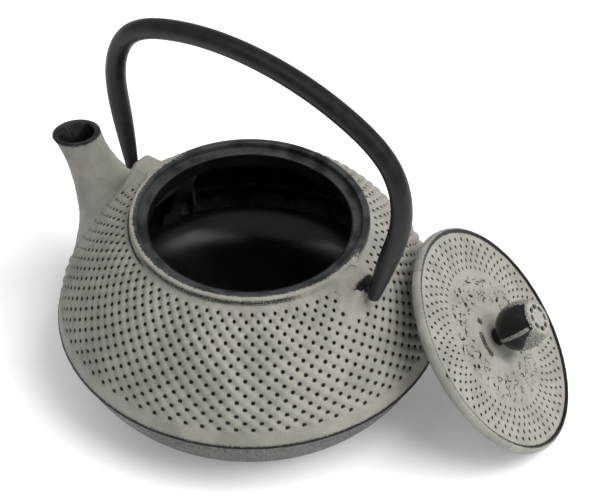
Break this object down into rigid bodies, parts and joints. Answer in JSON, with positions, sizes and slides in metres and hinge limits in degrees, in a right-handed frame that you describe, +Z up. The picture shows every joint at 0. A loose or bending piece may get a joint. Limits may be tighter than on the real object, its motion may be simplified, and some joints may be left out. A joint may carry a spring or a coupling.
{
  "type": "teapot",
  "caption": "Squat cast-iron teapot with a studded shoulder, a swinging bail handle, a short curved spout and a knobbed lid leaning on its side.",
  "frame": {"origin": "centre of the foot ring, on the table", "axes": "+Z up; X runs through the spout and both lugs, with the spout towards -X; the lid leans on the +X side, turned towards +Y"},
  "size_m": [0.2299, 0.1631, 0.1586],
  "materials": {
    "body_paint": "matt warm grey paint over rough cast iron, worn to black in the pits and on edges",
    "enamel": "glossy black vitreous enamel",
    "handle_black": "satin black",
    "pin_steel": "blackened steel",
    "knob_paint": "black iron with the grey paint left on top and along its seam"
  },
  "bodies": {
    "pot": {"pot": "body_paint", "enamel_lining": "enamel"},
    "handle": {"handle": "handle_black", "handle_pin_front": "pin_steel", "handle_pin_spout": "pin_steel"},
    "lid": {"lid": "body_paint"},
    "knob": {"knob": "knob_paint", "knob_pin": "pin_steel", "knob_washer": "pin_steel"}
  },
  "joints": [
    {"name": "handle_swing", "type": "hinge", "parent": "pot", "child": "handle", "pos_m": [0, 0, 0.0745], "axis": [1, 0, 0], "range_deg": [-74, 108]},
    {"name": "lid_lift", "type": "slide", "parent": "pot", "child": "lid", "axis": [0.6623, 0.3522, 0.6613], "range_m": [0, 0.15]},
    {"name": "knob_spin", "type": "hinge", "parent": "lid", "child": "knob", "pos_m": [0.0928, 0.0408, 0.0384], "axis": [0.6623, 0.3522, 0.6613], "continuous": true}
  ]
}
